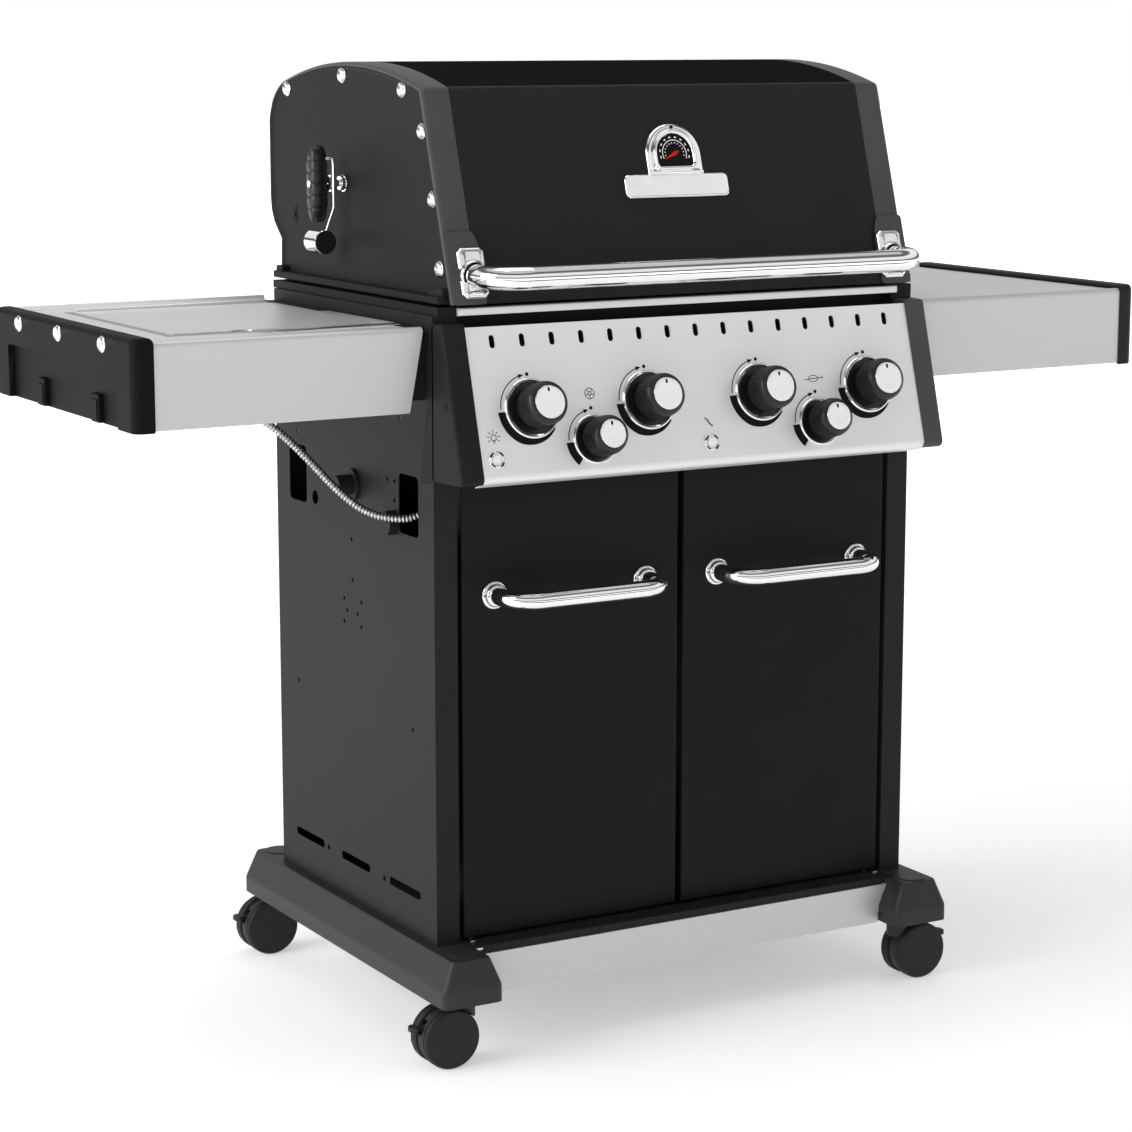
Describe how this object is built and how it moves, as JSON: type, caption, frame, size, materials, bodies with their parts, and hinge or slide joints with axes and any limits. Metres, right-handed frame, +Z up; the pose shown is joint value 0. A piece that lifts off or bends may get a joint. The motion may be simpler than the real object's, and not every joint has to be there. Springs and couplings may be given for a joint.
{
  "type": "gas barbecue grill on a cart",
  "caption": "Gas barbecue on a wheeled cabinet: hinged lid over a cookbox with burners and grids, side shelves with a side burner, spit with motor, two doors.",
  "frame": {"origin": "on the floor, under the middle of the bounding box without the hose", "axes": "+X to the right for a user in front, +Y to the back, +Z up"},
  "size_m": [1.457, 0.6324, 1.2065],
  "materials": {
    "black_sheet": "satin powder coat",
    "black_cast": "matt paint on a casting",
    "black_moulding": "fine texture",
    "brushed_stainless": "brushed lengthways",
    "bright_chrome": "polished",
    "iron": "matt",
    "plain_steel": "dull",
    "brass_fittings": "machined",
    "hose_metal": "corrugated",
    "caster_rubber": "matt",
    "dial_black": "gloss",
    "needle_red": "gloss"
  },
  "bodies": {
    "cart": {"base_beams": "black_moulding", "kick_plate": "brushed_stainless", "cabinet_floor": "black_sheet", "side_panels": "black_sheet", "back_panel": "black_sheet", "cookbox": "black_cast", "cookbox_trim": "bright_chrome", "main_burners": "plain_steel", "flame_tamers": "plain_steel", "cooking_grids": "iron", "rear_burner": "plain_steel", "gas_manifold": "brass_fittings", "control_panel": "brushed_stainless", "panel_end_caps": "black_moulding", "knob_bezels": "bright_chrome", "shelf_left": "brushed_stainless", "shelf_right": "brushed_stainless", "shelf_end_caps": "black_moulding", "shelf_screws": "bright_chrome", "side_burner": "plain_steel", "gas_hose": "hose_metal", "cabinet_fittings": "black_sheet"},
    "lid": {"lid_shell": "black_sheet", "lid_end_caps": "black_cast", "lid_handle": "bright_chrome", "lid_handle_bezels": "bright_chrome", "lid_screws": "bright_chrome", "thermometer_bezel": "bright_chrome", "thermometer_dial": "dial_black", "rotisserie_motor": "black_moulding"},
    "thermometer_needle": {"thermometer_needle": "needle_red"},
    "spit": {"spit_rod": "bright_chrome", "spit_forks": "bright_chrome", "spit_handle": "black_moulding"},
    "door_left": {"door_left": "black_sheet", "door_handle_left": "bright_chrome"},
    "door_right": {"door_right": "black_sheet", "door_handle_right": "bright_chrome"},
    "side_burner_lid": {"side_burner_lid": "brushed_stainless"},
    "grease_tray": {"grease_tray": "plain_steel"},
    "button_light": {"button_light": "bright_chrome"},
    "button_ignition": {"button_ignition": "bright_chrome"},
    "knob_burner_1": {"knob_burner_1": "black_moulding"},
    "knob_burner_2": {"knob_burner_2": "black_moulding"},
    "knob_burner_3": {"knob_burner_3": "black_moulding"},
    "knob_burner_4": {"knob_burner_4": "black_moulding"},
    "knob_auxiliary_1": {"knob_auxiliary_1": "black_moulding"},
    "knob_auxiliary_2": {"knob_auxiliary_2": "black_moulding"},
    "caster_swivel_front_left": {"caster_swivel_front_left": "black_moulding"},
    "caster_wheels_front_left": {"caster_wheels_front_left": "caster_rubber"},
    "caster_brake_front_left": {"caster_brake_front_left": "black_moulding"},
    "caster_swivel_front_right": {"caster_swivel_front_right": "black_moulding"},
    "caster_wheels_front_right": {"caster_wheels_front_right": "caster_rubber"},
    "caster_brake_front_right": {"caster_brake_front_right": "black_moulding"},
    "caster_swivel_rear_left": {"caster_swivel_rear_left": "black_moulding"},
    "caster_wheels_rear_left": {"caster_wheels_rear_left": "caster_rubber"},
    "caster_brake_rear_left": {"caster_brake_rear_left": "black_moulding"},
    "caster_swivel_rear_right": {"caster_swivel_rear_right": "black_moulding"},
    "caster_wheels_rear_right": {"caster_wheels_rear_right": "caster_rubber"},
    "caster_brake_rear_right": {"caster_brake_rear_right": "black_moulding"}
  },
  "joints": [
    {"name": "lid_hinge", "type": "hinge", "parent": "cart", "child": "lid", "pos_m": [0, 0.26216, 0.93], "axis": [-1, 0, 0], "range_deg": [0, 85]},
    {"name": "knob_burner_1_turn", "type": "hinge", "parent": "cart", "child": "knob_burner_1", "pos_m": [-0.244, -0.25638, 0.80361], "axis": [0, -0.9613, 0.2756], "range_deg": [0, 240]},
    {"name": "knob_burner_2_turn", "type": "hinge", "parent": "cart", "child": "knob_burner_2", "pos_m": [-0.0812, -0.25638, 0.80361], "axis": [0, -0.9613, 0.2756], "range_deg": [0, 240]},
    {"name": "knob_burner_3_turn", "type": "hinge", "parent": "cart", "child": "knob_burner_3", "pos_m": [0.0812, -0.25638, 0.80361], "axis": [0, -0.9613, 0.2756], "range_deg": [0, 240]},
    {"name": "knob_burner_4_turn", "type": "hinge", "parent": "cart", "child": "knob_burner_4", "pos_m": [0.244, -0.25638, 0.80361], "axis": [0, -0.9613, 0.2756], "range_deg": [0, 240]},
    {"name": "knob_auxiliary_1_turn", "type": "hinge", "parent": "cart", "child": "knob_auxiliary_1", "pos_m": [-0.163, -0.26809, 0.76276], "axis": [0, -0.9613, 0.2756], "range_deg": [0, 135]},
    {"name": "knob_auxiliary_2_turn", "type": "hinge", "parent": "cart", "child": "knob_auxiliary_2", "pos_m": [0.163, -0.26809, 0.76276], "axis": [0, -0.9613, 0.2756], "range_deg": [0, 135]},
    {"name": "door_left_hinge", "type": "hinge", "parent": "cart", "child": "door_left", "pos_m": [-0.297, -0.19484, 0.145], "axis": [0, 0, -1], "range_deg": [0, 100]},
    {"name": "door_right_hinge", "type": "hinge", "parent": "cart", "child": "door_right", "pos_m": [0.297, -0.19484, 0.145], "axis": [0, 0, 1], "range_deg": [0, 100]},
    {"name": "side_burner_lid_hinge", "type": "hinge", "parent": "cart", "child": "side_burner_lid", "pos_m": [-0.518, 0.18416, 0.9027], "axis": [-1, 0, 0], "range_deg": [0, 95]},
    {"name": "grease_tray_slide", "type": "slide", "parent": "cart", "child": "grease_tray", "axis": [0, 1, 0], "range_m": [0, 0.3]},
    {"name": "button_light_press", "type": "slide", "parent": "cart", "child": "button_light", "axis": [0, 0.9613, -0.2756], "range_m": [0, 0.003], "stiffness_N_per_m": 400, "springref_m": -0.001},
    {"name": "button_ignition_press", "type": "slide", "parent": "cart", "child": "button_ignition", "axis": [0, 0.9613, -0.2756], "range_m": [0, 0.003], "stiffness_N_per_m": 400, "springref_m": -0.001},
    {"name": "thermometer_needle_turn", "type": "hinge", "parent": "lid", "child": "thermometer_needle", "pos_m": [0, -0.1833, 1.09582], "axis": [0, -0.9552, 0.2958], "range_deg": [-240, 0]},
    {"name": "spit_turn", "type": "hinge", "parent": "lid", "child": "spit", "pos_m": [0, 0.06916, 1.057], "axis": [1, 0, 0], "continuous": true},
    {"name": "caster_front_left_swivel", "type": "hinge", "parent": "cart", "child": "caster_swivel_front_left", "pos_m": [-0.328, -0.23184, 0.1], "axis": [0, 0, 1], "continuous": true},
    {"name": "caster_front_left_roll", "type": "hinge", "parent": "caster_swivel_front_left", "child": "caster_wheels_front_left", "pos_m": [-0.353, -0.23184, 0.0375], "axis": [0, 1, 0], "continuous": true},
    {"name": "caster_front_left_brake", "type": "hinge", "parent": "caster_swivel_front_left", "child": "caster_brake_front_left", "pos_m": [-0.367, -0.23184, 0.0525], "axis": [0, -1, 0], "range_deg": [0, 12]},
    {"name": "caster_front_right_swivel", "type": "hinge", "parent": "cart", "child": "caster_swivel_front_right", "pos_m": [0.328, -0.23184, 0.1], "axis": [0, 0, 1], "continuous": true},
    {"name": "caster_front_right_roll", "type": "hinge", "parent": "caster_swivel_front_right", "child": "caster_wheels_front_right", "pos_m": [0.353, -0.23184, 0.0375], "axis": [0, 1, 0], "continuous": true},
    {"name": "caster_front_right_brake", "type": "hinge", "parent": "caster_swivel_front_right", "child": "caster_brake_front_right", "pos_m": [0.367, -0.23184, 0.0525], "axis": [0, 1, 0], "range_deg": [0, 12]},
    {"name": "caster_rear_left_swivel", "type": "hinge", "parent": "cart", "child": "caster_swivel_rear_left", "pos_m": [-0.328, 0.29416, 0.1], "axis": [0, 0, 1], "continuous": true},
    {"name": "caster_rear_left_roll", "type": "hinge", "parent": "caster_swivel_rear_left", "child": "caster_wheels_rear_left", "pos_m": [-0.353, 0.29416, 0.0375], "axis": [0, 1, 0], "continuous": true},
    {"name": "caster_rear_left_brake", "type": "hinge", "parent": "caster_swivel_rear_left", "child": "caster_brake_rear_left", "pos_m": [-0.367, 0.29416, 0.0525], "axis": [0, -1, 0], "range_deg": [0, 12]},
    {"name": "caster_rear_right_swivel", "type": "hinge", "parent": "cart", "child": "caster_swivel_rear_right", "pos_m": [0.328, 0.29416, 0.1], "axis": [0, 0, 1], "continuous": true},
    {"name": "caster_rear_right_roll", "type": "hinge", "parent": "caster_swivel_rear_right", "child": "caster_wheels_rear_right", "pos_m": [0.353, 0.29416, 0.0375], "axis": [0, 1, 0], "continuous": true},
    {"name": "caster_rear_right_brake", "type": "hinge", "parent": "caster_swivel_rear_right", "child": "caster_brake_rear_right", "pos_m": [0.367, 0.29416, 0.0525], "axis": [0, 1, 0], "range_deg": [0, 12]}
  ]
}
